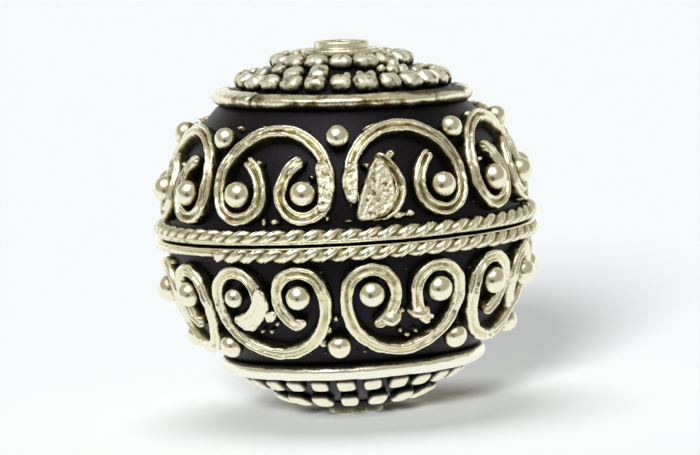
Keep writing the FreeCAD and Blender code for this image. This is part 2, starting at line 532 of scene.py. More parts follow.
@dataclass(frozen=True)
class AntiquedSilver:
    """Sterling silver, blackened all over and then rubbed bright where a cloth reaches.

    The eye sees cream highlights on the ridges, olive and brown films in the drawn groove and on the flanks
    where the patina is thin, and near-black feet.
    """

    name: str
    # Height in mm at which the rubbing starts, and at which the metal is bright
    dark_below: float = 0.07
    bright_above: float = 0.41
    black: str = "#443F38"
    umber: str = "#665B40"
    olive: str = "#A79F6C"
    stain: str = "#967A52"
    bright: str = "#FBF6DD"
    roughness_bright: float = 0.24
    roughness_dark: float = 0.50
    # Sizes in mm of the patches where the patina stayed, of the brown stains, and of the tool marks, which are
    # finer in the metal and drawn as coarse as they need to show
    patch_mm: float = 0.75
    stain_mm: float = 0.9
    mark_mm: float = 0.10
    mark_depth_mm: float = 0.010
    # How much relief in mm the patches add or take, and how much of the noise makes a stain
    patch_strength: float = 0.17
    stain_from: float = 0.52
    stain_full: float = 0.64
    # Shares of the rubbing at which each film of patina is left
    umber_share: float = 0.35
    film_share: float = 0.68
    bright_share: float = 0.96

    @cache
    def material(self) -> bpy.types.Material:
        """The finish as a material, made once.

        Returns:
            The material.
        """
        material, tree, output = new_material(self.name)
        coordinates = add_node(tree, "ShaderNodeTexCoord").outputs["Object"]
        relief = add_node(tree, "ShaderNodeAttribute", {"attribute_name": RELIEF}).outputs["Fac"]
        patches = add_node(tree, "ShaderNodeTexNoise", inputs={
            "Vector": coordinates, "Scale": 1 / (self.patch_mm * MM), "Detail": 4.0, "Roughness": 0.6})
        stains = add_node(tree, "ShaderNodeTexNoise", inputs={
            "Vector": coordinates, "Scale": 1 / (self.stain_mm * MM), "Detail": 2.0})
        marks = add_node(tree, "ShaderNodeTexNoise", inputs={
            "Vector": coordinates, "Scale": 1 / (self.mark_mm * MM), "Detail": 3.0, "Roughness": 0.55})
        uneven = add_node(tree, "ShaderNodeMath", {"operation": "MULTIPLY_ADD"}, {
            0: patches.outputs["Fac"], 1: 2 * self.patch_strength, 2: -self.patch_strength})
        height = add_node(tree, "ShaderNodeMath", {"operation": "ADD"}, {0: relief, 1: uneven.outputs[0]})
        # How far the cloth rubbed a place bright; where a table sets the relief low to darken a part, this
        # carries painted shade as well
        rubbing_and_painted_light = add_node(tree, "ShaderNodeMapRange", {"interpolation_type": "SMOOTHSTEP"}, {
            "Value": height.outputs[0], "From Min": self.dark_below, "From Max": self.bright_above})
        browned = add_node(tree, "ShaderNodeMapRange", {"interpolation_type": "SMOOTHSTEP"}, {
            "Value": stains.outputs["Fac"], "From Min": self.stain_from, "From Max": self.stain_full})
        ramps = []
        for film in (self.olive, self.stain):
            ramp = add_node(tree, "ShaderNodeValToRGB", inputs={"Fac": rubbing_and_painted_light.outputs[0]})
            stops = ((0.0, self.black), (self.umber_share, self.umber), (self.film_share, film),
                     (self.bright_share, self.bright))
            for share, _ in stops[1:-1]:
                ramp.color_ramp.elements.new(share)
            for element, (share, colour) in zip(ramp.color_ramp.elements, stops):
                element.position = share
                element.color = linear(colour)
            ramps.append(ramp.outputs["Color"])
        colour = add_node(tree, "ShaderNodeMix", {"data_type": "RGBA"}, {
            "Factor": browned.outputs[0], "A": ramps[0], "B": ramps[1]})
        roughness = add_node(tree, "ShaderNodeMapRange", inputs={
            "Value": rubbing_and_painted_light.outputs[0], "To Min": self.roughness_dark, "To Max": self.roughness_bright})
        bump = add_node(tree, "ShaderNodeBump", inputs={
            "Height": marks.outputs["Fac"], "Strength": 1.0, "Distance": self.mark_depth_mm * MM})
        shader = add_node(tree, "ShaderNodeBsdfPrincipled", inputs={
            "Base Color": colour.outputs["Result"], "Metallic": 1.0, "Roughness": roughness.outputs[0],
            "Normal": bump.outputs["Normal"]})
        tree.links.new(shader.outputs[0], output.inputs["Surface"])
        return material


@dataclass(frozen=True)
class BlackenedSilver:
    """Sterling silver left as the sulphide bath made it.

    The eye sees a satin near-black with a faint cool bloom, and a fine tooth where the bath bit.
    """

    name: str
    black: str = "#221F24"
    bloom: str = "#2F2C31"
    roughness: float = 0.46
    # Sizes in mm of the bloom, and of the tooth, which is finer in the metal and drawn as coarse as it needs to
    # show
    bloom_mm: float = 0.8
    mark_mm: float = 0.12
    mark_depth_mm: float = 0.012

    @cache
    def material(self) -> bpy.types.Material:
        """The finish as a material, made once.

        Returns:
            The material.
        """
        material, tree, output = new_material(self.name)
        coordinates = add_node(tree, "ShaderNodeTexCoord").outputs["Object"]
        bloom = add_node(tree, "ShaderNodeTexNoise", inputs={
            "Vector": coordinates, "Scale": 1 / (self.bloom_mm * MM), "Detail": 5.0, "Roughness": 0.6})
        marks = add_node(tree, "ShaderNodeTexNoise", inputs={
            "Vector": coordinates, "Scale": 1 / (self.mark_mm * MM), "Detail": 3.0})
        film = add_node(tree, "ShaderNodeMix", {"data_type": "RGBA"}, {
            "Factor": bloom.outputs["Fac"], "A": linear(self.black), "B": linear(self.bloom)})
        bump = add_node(tree, "ShaderNodeBump", inputs={
            "Height": marks.outputs["Fac"], "Strength": 1.0, "Distance": self.mark_depth_mm * MM})
        shader = add_node(tree, "ShaderNodeBsdfPrincipled", inputs={
            "Base Color": film.outputs["Result"], "Metallic": 1.0, "Roughness": self.roughness,
            "Normal": bump.outputs["Normal"]})
        tree.links.new(shader.outputs[0], output.inputs["Surface"])
        return material


def silver(piece: str, **wear: float | str) -> AntiquedSilver:
    """The antiqued silver of one kind of piece, by how its wear differs from a scroll wire's."""
    return AntiquedSilver("antiqued_sterling_silver_" + piece, **wear)


SHELL_FINISH = BlackenedSilver("blackened_sterling_silver")
WIRE = silver("wire")
# Rubbed bright lower down than the upper wire, so that the lower half is lighter: painted reflection of the
# white page below the bead
LOWER_WIRE = silver("lower_wire", dark_below=0.03, bright_above=0.35, patch_strength=0.14)
# Bright all over, with patches that the cloth missed
COLLAR = silver("collar", dark_below=0.0, bright_above=0.31, patch_strength=0.34, patch_mm=0.60,
                mark_depth_mm=0.016)
# Whiter and rubbed brighter than the upper collar: painted reflection of the white page below the bead
LOWER_COLLAR = silver("lower_collar", dark_below=-0.05, bright_above=0.24, patch_strength=0.12,
                      bright="#FDFAE9")
# Bright strokes with black between them
ROPE = silver("rope", dark_below=0.08, bright_above=0.255, patch_strength=0.05)
EDGE = silver("edge", dark_below=-0.03, bright_above=0.31, patch_strength=0.28, patch_mm=0.40)
# Satin, with a thin olive film
EYELET = silver("eyelet", dark_below=-0.02, bright_above=0.37, patch_strength=0.26, patch_mm=0.40,
                umber="#7C7B5C", olive="#B6B793", mark_depth_mm=0.016, roughness_bright=0.30)
# Polished on top, dark from the waist down
GRANULE = silver("granule", dark_below=0.12, bright_above=0.56, patch_strength=0.20, patch_mm=0.30,
                 roughness_bright=0.22)
# Matt and pitted, as metal that was pressed hot
CAP = silver("cap", dark_below=0.03, bright_above=0.32, patch_strength=0.36, patch_mm=0.28,
             umber="#66634C", olive="#AEAD92", bright="#FCFAE6", mark_depth_mm=0.028, roughness_bright=0.43)
LOWER_CAP = silver("lower_cap", dark_below=0.13, bright_above=0.30, patch_strength=0.06,
                   umber="#4E4C42", olive="#A9A994", roughness_bright=0.32)
PLATE = silver("plate", dark_below=-0.02, bright_above=0.34, patch_strength=0.42, patch_mm=0.20,
               mark_depth_mm=0.028, roughness_bright=0.42)
SOLDER = silver("solder", dark_below=-0.05, bright_above=0.26, patch_strength=0.16, patch_mm=0.25)


# The bead's sub-assemblies

def mirrored_down(obj: bpy.types.Object, half: Half) -> None:
    """Mirrors a piece modelled for the upper half where the lower one is asked for, and sets its normals.

    Args:
        obj: the piece.
        half: the half that it is for.
    """
    if half is Half.LOWER:
        place(obj, Matrix.Scale(-1, 4, AXIS))
    start_edit(obj)
    end_edit(obj)


@dataclass
class HalfShell:
    """A stamped half-shell, blackened, with the stringing hole through its flattened crown."""

    half: Half
    finish: bpy.types.Material
    wall: float = 0.45 * MM
    hole_radius: float = 0.7 * MM
    segments: int = 128
    planish_grain: float = 0.9 * MM
    planish_depth: float = 0.012 * MM
    # Lean of the stringing hole, in degrees towards +X
    lean: float = 0.0
    crown_reach: float = 0.01 * MM

    def build(self) -> bpy.types.Object:
        """Models the shell from a ball that is cut at the seam and at the crown.

        Returns:
            The shell.
        """
        crown_radius = math.sqrt(SHELL_RADIUS ** 2 - CROWN_HEIGHT ** 2)
        deselect()
        bpy.ops.mesh.primitive_uv_sphere_add(
            segments=self.segments, ring_count=self.segments // 2, radius=SHELL_RADIUS)
        shell = added(self.half.node("shell"))
        start_edit(shell)
        bpy.ops.mesh.bisect(plane_co=CENTRE, plane_no=AXIS, clear_inner=True)
        bpy.ops.mesh.select_all(action="SELECT")
        bpy.ops.mesh.bisect(plane_co=(0, 0, CROWN_HEIGHT), plane_no=AXIS, clear_outer=True)
        pick(shell, lambda point: point.z > CROWN_HEIGHT - self.crown_reach)
        bpy.ops.mesh.extrude_region_move()
        land = self.hole_radius / crown_radius
        bpy.ops.transform.resize(value=(land, land, 1), center_override=(0, 0, CROWN_HEIGHT))
        bpy.ops.transform.translate(value=(CROWN_HEIGHT * math.sin(math.radians(self.lean)), 0, 0))
        end_edit(shell)
        roughen(shell, self.planish_grain, self.planish_depth)
        modify(shell, "SOLIDIFY", thickness=self.wall, offset=-1)
        mirrored_down(shell, self.half)
        finish(shell, self.finish, "shell", self.half.node("dome"))
        return shell


@dataclass
class RimRope:
    """The rim's twisted wire: two round strands laid round each other and closed into a hoop."""

    half: Half
    finish: bpy.types.Material
    # Half turns are strokes that show, and an odd number of them lets one strand run into the other
    strokes: int = 61
    strand_share: float = 0.66
    # The drawn groove along each strand: its depth as a share of the strand, and its width in degrees
    groove_share: float = 0.24
    groove_width: float = 20.0
    # Longitudes between which the lower rope was filed down to a plain edge
    filed: tuple[float, float] = (-112.0, -43.0)
    filed_level: float = 0.24 * MM
    filed_share: float = 0.4
    filed_in_share: float = 0.99
    # Level up to which the rope is pressed flat against the lip, and the share of its height left there
    pressed_below: float = 0.13 * MM
    pressed_level: float = 0.10 * MM
    pressed_share: float = 0.2
    strand_corners: int = 12
    steps_per_stroke: int = 12
    wobble_grain: float = 1.2 * MM
    wobble_depth: float = 0.02 * MM
    dent_grain: float = 0.38 * MM
    dent_depth: float = 0.035 * MM

    def section(self) -> list[Vector]:
        """The outline of the two strands side by side.

        Returns:
            Its corners, in metres.
        """
        strand = RIM_THICKNESS / 2 * self.strand_share
        offset = RIM_THICKNESS / 2 - strand
        waist = math.acos(offset / strand)
        reach = math.pi - waist
        right = []
        for i in range(self.strand_corners):
            a = -reach + 2 * reach * i / self.strand_corners
            size = strand * (1 - self.groove_share * max(0.0, 1 - abs(math.degrees(a)) / self.groove_width))
            right.append(Vector((offset + size * math.cos(a), size * math.sin(a), 0)))
        return right + [Vector((-point.x, -point.y, 0)) for point in right]

    def build(self) -> bpy.types.Object:
        """Twists the section along a straight line with a screw, then bends the bar into a hoop.

        Returns:
            The rope.
        """
        length = 2 * math.pi * RIM_RADIUS
        rope = drawn(self.half.node("rim_rope"), self.section())
        place(rope, Matrix.Translation((0, 0, -length / 2)))
        steps = self.strokes * self.steps_per_stroke
        modify(rope, "SCREW", axis="Z", angle=-math.pi * self.strokes, screw_offset=length, iterations=1,
               steps=steps, render_steps=steps)
        mark_relief(rope, lambda point: math.hypot(point.x, point.y))
        place(rope, Matrix.Rotation(math.pi / 2, 4, "Y"))
        modify(rope, "SIMPLE_DEFORM", deform_method="BEND", deform_axis="Z", angle=2 * math.pi)
        place(rope, Matrix.Translation((0, -RIM_RADIUS, self.half.sign * RIM_HEIGHT)))
        start_edit(rope)
        pick(rope, lambda point: abs(point.z) < self.pressed_below)
        bpy.ops.transform.resize(
            value=(1, 1, self.pressed_share), center_override=(0, 0, self.half.sign * self.pressed_level))
        if self.half is Half.LOWER:
            low, high = self.filed
            pick(rope, lambda point: low < longitude_of(point.normalized()) < high)
            bpy.ops.transform.resize(value=(self.filed_in_share, self.filed_in_share, self.filed_share),
                                     center_override=(0, 0, -self.filed_level))
        end_edit(rope)
        roughen(rope, self.wobble_grain, self.wobble_depth, "RGB_TO_XYZ")
        roughen(rope, self.dent_grain, self.dent_depth)
        finish(rope, self.finish, "wirework", self.half.node("rope_wire"))
        return rope


@dataclass
class RimLip:
    """The thin flat edge of the half-shell, which shows as a line between the rope and the seam."""

    half: Half
    finish: bpy.types.Material
    inner_radius: float = 6.30 * MM
    outer_radius: float = 7.00 * MM
    low: float = 0.06 * MM
    high: float = 0.14 * MM
    steps: int = 240
    wobble_grain: float = 1.0 * MM
    wobble_depth: float = 0.02 * MM

    def build(self) -> bpy.types.Object:
        """Spins the edge's section round the bead.

        Returns:
            The lip.
        """
        edge = (self.high - self.low) / 3
        corners = ((self.inner_radius, self.low), (self.outer_radius - edge, self.low),
                   (self.outer_radius, self.low + edge), (self.outer_radius, self.high - edge),
                   (self.outer_radius - edge, self.high), (self.inner_radius, self.high))
        lip = drawn(self.half.node("rim_lip"), [Vector((reach, 0, level)) for reach, level in corners])
        start_edit(lip)
        bpy.ops.mesh.spin(steps=self.steps, angle=math.tau, center=CENTRE, axis=AXIS)
        end_edit(lip)
        mirrored_down(lip, self.half)
        mark_relief(lip, above_shell, OPEN_RELIEF)
        roughen(lip, self.wobble_grain, self.wobble_depth, "RGB_TO_XYZ")
        finish(lip, self.finish, "wirework")
        return lip


@dataclass
class ScrollShape:
    """The C-scroll's wire and its chain of arcs, drawn on the shell."""

    wire_width: float = 0.50 * MM
    wire_height: float = 0.42 * MM
    # The section's right side, from the groove along its crown down to the foot: across and up, in mm
    outline: tuple[Row, ...] = (
        (0.028, 0.285), (0.060, 0.345), (0.100, 0.412), (0.148, 0.438), (0.195, 0.422), (0.230, 0.365),
        (0.250, 0.26), (0.252, 0.10), (0.270, 0.0), (0.290, -0.06))
    # Height of the groove's bottom in mm
    groove_height: float = 0.262
    granule_radius: float = 0.50 * MM
    granule_clearance: float = 0.09 * MM
    leg_gap: float = 0.24 * MM
    rim_gap: float = 0.10 * MM
    shoulder_drop: float = 10.5
    curl_turn: float = 168.0
    tail_turn: float = 54.0
    tail_share: float = 0.68
    section_step: float = 0.09 * MM
    fewest_steps: int = 4
    tip_rings: tuple[Row, ...] = ((0.09 * MM, 0.88), (0.07 * MM, 0.62), (0.03 * MM, 0.45))

    def angle(self, length: float) -> float:
        """The angle in degrees that a length spans on the shell."""
        return math.degrees(length / SHELL_RADIUS)

    @property
    def curl_angle(self) -> float:
        """Angular radius of a curl."""
        return self.angle(self.granule_radius + self.granule_clearance + self.wire_width / 2)

    @property
    def loop_angle(self) -> float:
        """Angular radius of the large loop.

        Returns:
            The angle, at which the legs of the two curls leave their gap between them.
        """
        leg = self.angle((self.wire_width + self.leg_gap) / 2)
        drop = math.cos(math.radians(self.shoulder_drop))
        return (leg + self.curl_angle * (1 + drop)) / drop

    @property
    def loop_latitude(self) -> float:
        """Latitude of the large loop's centre.

        Returns:
            The latitude, at which the curls' feet keep their gap to the rim.
        """
        foot = math.degrees(math.asin((RIM_HIGH + self.rim_gap) / SHELL_RADIUS))
        curl = foot + self.angle(self.wire_width / 2) + self.curl_angle
        return curl + (self.loop_angle - self.curl_angle) * math.sin(math.radians(self.shoulder_drop))

    def arcs(self) -> list[tuple[float, float]]:
        """Angular radius and turn in degrees of the half scroll's arcs, from the loop's top to the tip."""
        return [(self.loop_angle, 90 + self.shoulder_drop), (self.curl_angle, self.curl_turn),
                (self.loop_angle * self.tail_share, self.tail_turn)]

    def section(self) -> list[Row]:
        """The wire's whole outline: two rubbed ridges with the drawn groove between them.

        Returns:
            Its corners, across and up in mm.
        """
        right = list(self.outline)
        left = [(-across, up) for across, up in reversed(right)]
        return [(0, self.groove_height)] + right + [(0, right[-1][1])] + left

    def half_wire(self, name: str) -> bpy.types.Object:
        """The right half of the wire, spun along its arcs from the top of the loop.

        Args:
            name: the object's name.

        Returns:
            The half scroll, at longitude 0 of the upper half.
        """
        wire = section_line(name, self.section())
        point = direction(self.loop_latitude + self.loop_angle, 0)
        centre = direction(self.loop_latitude, 0)
        outward = (point * point.dot(centre) - centre).normalized()
        basis = Matrix((outward, point, outward.cross(point))).transposed().to_4x4()
        place(wire, Matrix.Translation(point * SHELL_RADIUS) @ basis)
        start_edit(wire)
        for radius_angle, turn in self.arcs():
            centre = self.tangent_centre(point, centre, radius_angle)
            length = SHELL_RADIUS * math.sin(math.radians(radius_angle)) * math.radians(turn)
            steps = max(self.fewest_steps, round(length / self.section_step))
            bpy.ops.mesh.spin(steps=steps, angle=math.radians(turn), center=CENTRE, axis=centre)
            point = Quaternion(centre, -math.radians(turn)) @ point
        middle = point * (SHELL_RADIUS + self.wire_height / 2)
        round_tip(middle, point.cross(centre).normalized(), self.tip_rings)
        bpy.ops.object.mode_set(mode="OBJECT")
        return wire

    def tangent_centre(self, point: Vector, centre: Vector, radius_angle: float) -> Vector:
        """Centre of an arc that touches an earlier one at a point, on the same side as its centre."""
        inward = (centre - point * point.dot(centre)).normalized()
        return point * math.cos(math.radians(radius_angle)) + inward * math.sin(math.radians(radius_angle))


@dataclass
class ScrollBand:
    """The eight C-scrolls of one half."""

    half: Half
    finish: bpy.types.Material
    spacer_longitude: float
    shape: ScrollShape
    count: int = 8
    warp_grain: float = 1.6 * MM
    warp_depth: float = 0.09 * MM
    dent_grain: float = 0.34 * MM
    dent_depth: float = 0.045 * MM
    pit_grain: float = 0.12 * MM
    pit_depth: float = 0.014 * MM
    # Places where the solder took the wire: the scroll's number, latitude and longitude
    drowned: tuple[Row, ...] = ()
    drowned_reach: float = 0.9 * MM
    drowned_depth: float = 0.36 * MM

    def build(self) -> list[bpy.types.Object]:
        """Spins one half scroll, mirrors it and copies it round the band, each copy uneven in its own way.

        Returns:
            The scrolls.
        """
        master = self.shape.half_wire("scroll_pattern")
        modify(master, "MIRROR", use_axis=(True, False, False), merge_threshold=0.004 * MM)
        mirrored_down(master, self.half)
        modify(master, "SUBSURF", levels=1, render_levels=1)
        mark_relief(master, above_shell)
        scrolls = []
        for i in range(self.count):
            longitude = self.spacer_longitude + 360 / self.count * (i + 1 / 2)
            number = str(i + 1)
            scroll = copied(master, self.half.node("scroll_wire_" + number), turned(longitude))
            for which, *spot in self.drowned:
                if which == i + 1:
                    press(scroll, direction(*spot) * (SHELL_RADIUS + self.shape.wire_height / 2),
                          self.drowned_reach, self.drowned_depth)
            roughen(scroll, self.warp_grain, self.warp_depth, "RGB_TO_XYZ")
            roughen(scroll, self.dent_grain, self.dent_depth)
            roughen(scroll, self.pit_grain, self.pit_depth)
            finish(scroll, self.finish, "wirework", self.half.node("scroll_" + number))
            scrolls.append(scroll)
        remove(master)
        return scrolls


@dataclass
class Granules:
    """Silver granules soldered at the seats of one CAD node."""

    half: Half
    group: str
    finish: bpy.types.Material
    radius: float
    fineness: int = 3
    size_spread: float = 0.05
    dent_grain: float = 0.30 * MM
    dent_depth: float = 0.016 * MM
    # The solder at its foot, as shares of the radius: how far below the top it starts, how deep it goes and how
    # much wider it is
    foot_share: float = 1.70
    skirt_depth_share: float = 0.16
    skirt_share: float = 1.12
    sunk: float = 0.03 * MM
    # Granules that solder has flooded: latitude, longitude, size share and how far they sank, in mm
    flooded: tuple[Row, ...] = ()
    # How near in degrees a seat is to the place of a flooded granule
    flooded_reach: float = 3.0

    def pattern(self) -> bpy.types.Object:
        """One ball, cut flat below and flared into its solder, with its top at the origin.

        Returns:
            The ball.
        """
        deselect()
        bpy.ops.mesh.primitive_ico_sphere_add(
            subdivisions=self.fineness + 1, radius=self.radius, location=(0, 0, -self.radius))
        ball = added("granule_pattern")
        place(ball, Matrix.Identity(4))
        foot = -self.foot_share * self.radius
        start_edit(ball)
        bpy.ops.mesh.bisect(plane_co=(0, 0, foot), plane_no=AXIS, clear_inner=True, threshold=CUT_THRESHOLD)
        pick(ball, lambda point: point.z < foot + ON_THE_CUT)
        skirt = (0, 0, -self.skirt_depth_share * self.radius)
        bpy.ops.mesh.extrude_region_move(TRANSFORM_OT_translate={"value": skirt})
        bpy.ops.transform.resize(value=(self.skirt_share, self.skirt_share, 1), center_override=(0, 0, foot))
        bpy.ops.mesh.edge_face_add()
        end_edit(ball)
        return ball

    def build(self) -> bpy.types.Object:
        """Sets a ball, each a little different, on every seat.

        Returns:
            The granules as one piece.
        """
        dice = random.Random(self.half.node(self.group))
        ball = self.pattern()
        balls = []
        for i, seat in enumerate(seats(self.half.node(self.group))):
            size = 1 + dice.uniform(-self.size_spread, self.size_spread)
            top, height = seat.top - self.sunk, 1.0
            for latitude, longitude, share, sunk in self.flooded:
                if seat.middle.angle(direction(latitude, longitude)) < math.radians(self.flooded_reach):
                    size, height, top = share, share, seat.top - sunk * MM
            where = level_at(latitude_of(seat.middle), longitude_of(seat.middle), top, dice.uniform(0, 360))
            balls.append(copied(ball, f"granule_{i}", where @ Matrix.Diagonal((size, size, height, 1))))
        remove(ball)
        group = joined(balls, self.half.node(self.group.replace("granules", "balls")))
        mark_relief(group, above_shell)
        roughen(group, self.dent_grain, self.dent_depth)
        finish(group, self.finish, "granules", self.half.node(self.group))
        return group


@dataclass(frozen=True)
class Lump:
    """A low mound of metal on the shell: its place in degrees, its sizes in mm and its turn from the east."""

    latitude: float
    longitude: float
    length: float
    width: float
    height: float
    turn: float = 0.0


@dataclass
class Mounds:
    """Pressed granules, solder lumps or stray crumbs: one half-pillow, copied to many places."""

    half: Half
    name: str
    finish: bpy.types.Material
    # Share of the pillow's side that stays straight: 0 is round, and near 1 is a block
    squareness: float = 0.3
    rounds: int = 3
    smooth_levels: int = 1
    foot_depth: float = 0.06
    size_spread: float = 0.06
    turn_spread: float = 8.0
    lean: float = 0.0
    dent_grain: float = 0.25 * MM
    dent_depth: float = 0.02 * MM

    def pattern(self) -> bpy.types.Object:
        """A half-pillow 1 m long, wide and high, standing on the origin.

        Returns:
            The pattern.
        """
        deselect()
        bpy.ops.mesh.primitive_cube_add(size=1)
        mound = added("mound_pattern")
        start_edit(mound)
        bpy.ops.mesh.bevel(offset=(1 - self.squareness) / 2, segments=self.rounds, affect="EDGES")
        bpy.ops.mesh.select_all(action="SELECT")
        bpy.ops.mesh.bisect(plane_co=CENTRE, plane_no=AXIS, clear_inner=True, use_fill=True)
        bpy.ops.object.mode_set(mode="OBJECT")
        place(mound, Matrix.Diagonal((1, 1, 2, 1)))
        if self.smooth_levels:
            modify(mound, "SUBSURF", levels=self.smooth_levels, render_levels=self.smooth_levels)
        return mound

    def build(self, lumps: Sequence[Lump], *nodes: str) -> bpy.types.Object:
        """Sets a mound, each a little different, at every place.

        Args:
            lumps: the places and sizes.
            nodes: the CAD nodes that the mounds stand for.

        Returns:
            The mounds as one piece.
        """
        dice = random.Random(self.half.node(self.name))
        pattern = self.pattern()
        mounds = []
        for i, lump in enumerate(lumps):
            size = 1 + dice.uniform(-self.size_spread, self.size_spread)
            turn = lump.turn + dice.uniform(-self.turn_spread, self.turn_spread)
            where = level_at(lump.latitude, lump.longitude, SHELL_RADIUS - self.foot_depth * MM, turn)
            scale = Matrix.Diagonal((lump.length * size * MM, lump.width * size * MM,
                                     (lump.height + self.foot_depth) * MM, 1))
            mounds.append(copied(pattern, f"mound_{i}", where @ scale))
        remove(pattern)
        group = joined(mounds, self.half.node(self.name))
        place(group, leaned(self.lean))
        mark_relief(group, above_shell, OPEN_RELIEF)
        roughen(group, self.dent_grain, self.dent_depth)
        finish(group, self.finish, "granules" if nodes else "wirework", *nodes)
        return group


@dataclass
class SolderPlate:
    """A plate of metal pooled beside a wire, with a bright rim round a pressed middle."""

    half: Half
    name: str
    finish: bpy.types.Material
    foot_depth: float = 0.15 * MM
    rim_width: float = 0.10 * MM
    middle_share: float = 0.6
    press_depth: float = 0.02 * MM
    smooth_levels: int = 3
    # How many times its depth below the top a place counts for the patina
    relief_gain: float = 3.0
    dent_grain: float = 0.15 * MM
    dent_depth: float = 0.045 * MM

    def build(self, outline: Sequence[Place], height: float) -> bpy.types.Object:
        """Models the plate from its outline.

        Args:
            outline: latitude and longitude in degrees of its corners.
            height: how far it stands above the shell, in metres.

        Returns:
            The plate.
        """
        corners = [direction(*corner) for corner in outline]
        middle = sum(corners, Vector()).normalized()
        where = level_at(latitude_of(middle), longitude_of(middle), SHELL_RADIUS - self.foot_depth)
        level = where.to_3x3().transposed()
        flat = [(level @ corner) * SHELL_RADIUS for corner in corners]
        plate = drawn(self.half.node(self.name), [Vector((corner.x, corner.y, 0)) for corner in flat])
        start_edit(plate)
        bpy.ops.mesh.edge_face_add()
        bpy.ops.mesh.extrude_region_move(TRANSFORM_OT_translate={"value": (0, 0, height + self.foot_depth)})
        bpy.ops.mesh.inset(thickness=self.rim_width)
        bpy.ops.mesh.inset(thickness=self.rim_width)
        bpy.ops.transform.translate(value=(0, 0, -self.press_depth))
        bpy.ops.mesh.inset(thickness=self.middle_share * self.rim_width)
        bpy.ops.mesh.poke()
        end_edit(plate)
        modify(plate, "SUBSURF", levels=self.smooth_levels, render_levels=self.smooth_levels)
        top = height + self.foot_depth
        mark_relief(plate, lambda point: height - self.relief_gain * (top - point.z), OPEN_RELIEF)
        place(plate, where)
        roughen(plate, self.dent_grain, self.dent_depth)
        finish(plate, self.finish, "wirework")
        return plate


@dataclass
class WireEnd:
    """The end of a hoop's wire, laid over its start."""

    half: Half
    name: str
    finish: bpy.types.Material
    # The section, across and up in mm
    outline: tuple[Row, ...]
    latitude: float
    radius: float
    # Longitudes of the end that shows and of the place where it sinks into the hoop
    shown: float
    sunk: float
    # Degrees from one section to the next
    step: float = 0.8
    lean: float = 0.0
    tip_rings: tuple[Row, ...] = ((0.10 * MM, 0.90), (0.09 * MM, 0.70), (0.05 * MM, 0.50))
    dent_grain: float = 0.3 * MM
    dent_depth: float = 0.025 * MM

    def build(self) -> bpy.types.Object:
        """Spins the section from the end that shows to the place where it sinks.

        Returns:
            The wire's end.
        """
        out, north = direction(self.latitude, self.shown), direction(self.latitude + 90, self.shown)
        wire = section_line(self.half.node(self.name), self.outline)
        basis = Matrix((north, out, north.cross(out))).transposed().to_4x4()
        place(wire, Matrix.Translation(out * self.radius) @ basis)
        turn = self.shown - self.sunk
        start_edit(wire)
        bpy.ops.mesh.spin(steps=round(turn / self.step), angle=math.radians(turn), center=CENTRE, axis=AXIS)
        sunk_out = turned(-turn) @ out
        round_tip(sunk_out * self.radius, sunk_out.cross(AXIS).normalized(), self.tip_rings)
        forward = AXIS.cross(out).normalized()
        pick(wire, lambda point: abs(point.dot(forward)) < ON_THE_CUT)
        round_tip(out * self.radius, forward, self.tip_rings)
        end_edit(wire)
        mirrored_down(wire, self.half)
        modify(wire, "SUBSURF", levels=1, render_levels=1)
        place(wire, leaned(self.lean))
        mark_relief(wire, above_shell, OPEN_RELIEF)
        roughen(wire, self.dent_grain, self.dent_depth)
        finish(wire, self.finish, "wirework")
        return wire


@dataclass
class Collar:
    """The wide half-round wire between the scrolls and the cap."""

    half: Half
    finish: bpy.types.Material
    # The section, across and up in mm
    outline: tuple[Row, ...]
    # Stretches that the cloth missed, and one stretch of painted shade on the upper right side at longitude 54:
    # longitude and its reach in degrees, place across the wire and its reach in mm, and how much relief the
    # patina hides there, in mm
    missed_and_painted_shade: tuple[Row, ...] = ()
    # How far it was set off its circle, in degrees: towards the pole and towards +X
    lift: float = 0.0
    lean: float = 0.0
    solid_width: float = 0.82 * MM
    steps: int = 240
    warp_grain: float = 1.3 * MM
    warp_depth: float = 0.035 * MM
    dent_grain: float = 0.25 * MM
    dent_depth: float = 0.020 * MM

    @property
    def latitude(self) -> float:
        """Latitude of the wire's middle, from the CAD solid's edge next to the scrolls.

        Returns:
            The latitude, in degrees from the equator.
        """
        low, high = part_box(self.half.node("collar_wire"))
        edge = min(abs(low.z), abs(high.z))
        return math.degrees(math.asin(edge / SHELL_RADIUS) + self.solid_width / 2 / SHELL_RADIUS) + self.lift

    def rubbing_and_painted_light(self, point: Vector, latitude: float) -> float:
        """How high a place counts for the cloth, in metres: less where it was missed, and less where shade is
        painted.

        Args:
            point: the place.
            latitude: the wire's latitude, in degrees from the equator.

        Returns:
            The height.
        """
        height = min(above_shell(point), OPEN_RELIEF * MM)
        out = point.normalized()
        north = math.radians(abs(latitude_of(out)) - latitude) * SHELL_RADIUS / MM
        for longitude, reach, across, width, hidden in self.missed_and_painted_shade:
            away = math.hypot((longitude_of(out) - longitude) / reach, (north - across) / width)
            height -= hidden * MM * max(0.0, 1 - away ** 2)
        return height

    def build(self) -> bpy.types.Object:
        """Spins the wire's section round the bead.

        Returns:
            The collar.
        """
        latitude = self.latitude
        middle, north = direction(latitude, 0), direction(latitude + 90, 0)
        collar = section_line(self.half.node("collar"), self.outline)
        basis = Matrix((north, middle, north.cross(middle))).transposed().to_4x4()
        place(collar, Matrix.Translation(middle * SHELL_RADIUS) @ basis)
        start_edit(collar)
        bpy.ops.mesh.spin(steps=self.steps, angle=math.tau, center=CENTRE, axis=AXIS)
        end_edit(collar)
        mirrored_down(collar, self.half)
        modify(collar, "SUBSURF", levels=1, render_levels=1)
        mark_relief(collar, lambda point: self.rubbing_and_painted_light(point, latitude))
        place(collar, leaned(self.lean))
        roughen(collar, self.warp_grain, self.warp_depth, "RGB_TO_XYZ")
        roughen(collar, self.dent_grain, self.dent_depth)
        finish(collar, self.finish, "wirework", self.half.node("collar_wire"))
        return collar


